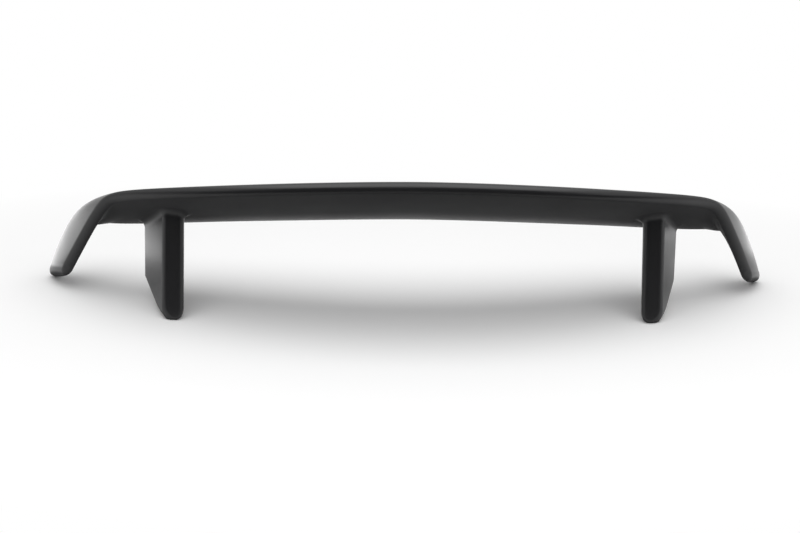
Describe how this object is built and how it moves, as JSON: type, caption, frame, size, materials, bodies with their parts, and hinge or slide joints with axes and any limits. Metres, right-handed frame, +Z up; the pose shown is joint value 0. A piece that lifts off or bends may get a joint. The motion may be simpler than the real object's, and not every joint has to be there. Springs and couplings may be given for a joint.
{
  "type": "trunk spoiler",
  "caption": "Full-width car trunk spoiler moulded in one piece: an arched, swept blade on short legs, with ends that turn down into winglets.",
  "frame": {"origin": "on the floor under the middle of the spoiler's box", "axes": "+X across the car to the right of a viewer behind it, +Y towards the front of the car, +Z up"},
  "size_m": [1.406, 0.3679, 0.3006],
  "materials": {
    "moulding": "satin black",
    "inserts": "plain turned"
  },
  "bodies": {
    "root": {"spoiler_body": "moulding", "threaded_inserts": "inserts"}
  },
  "joints": []
}
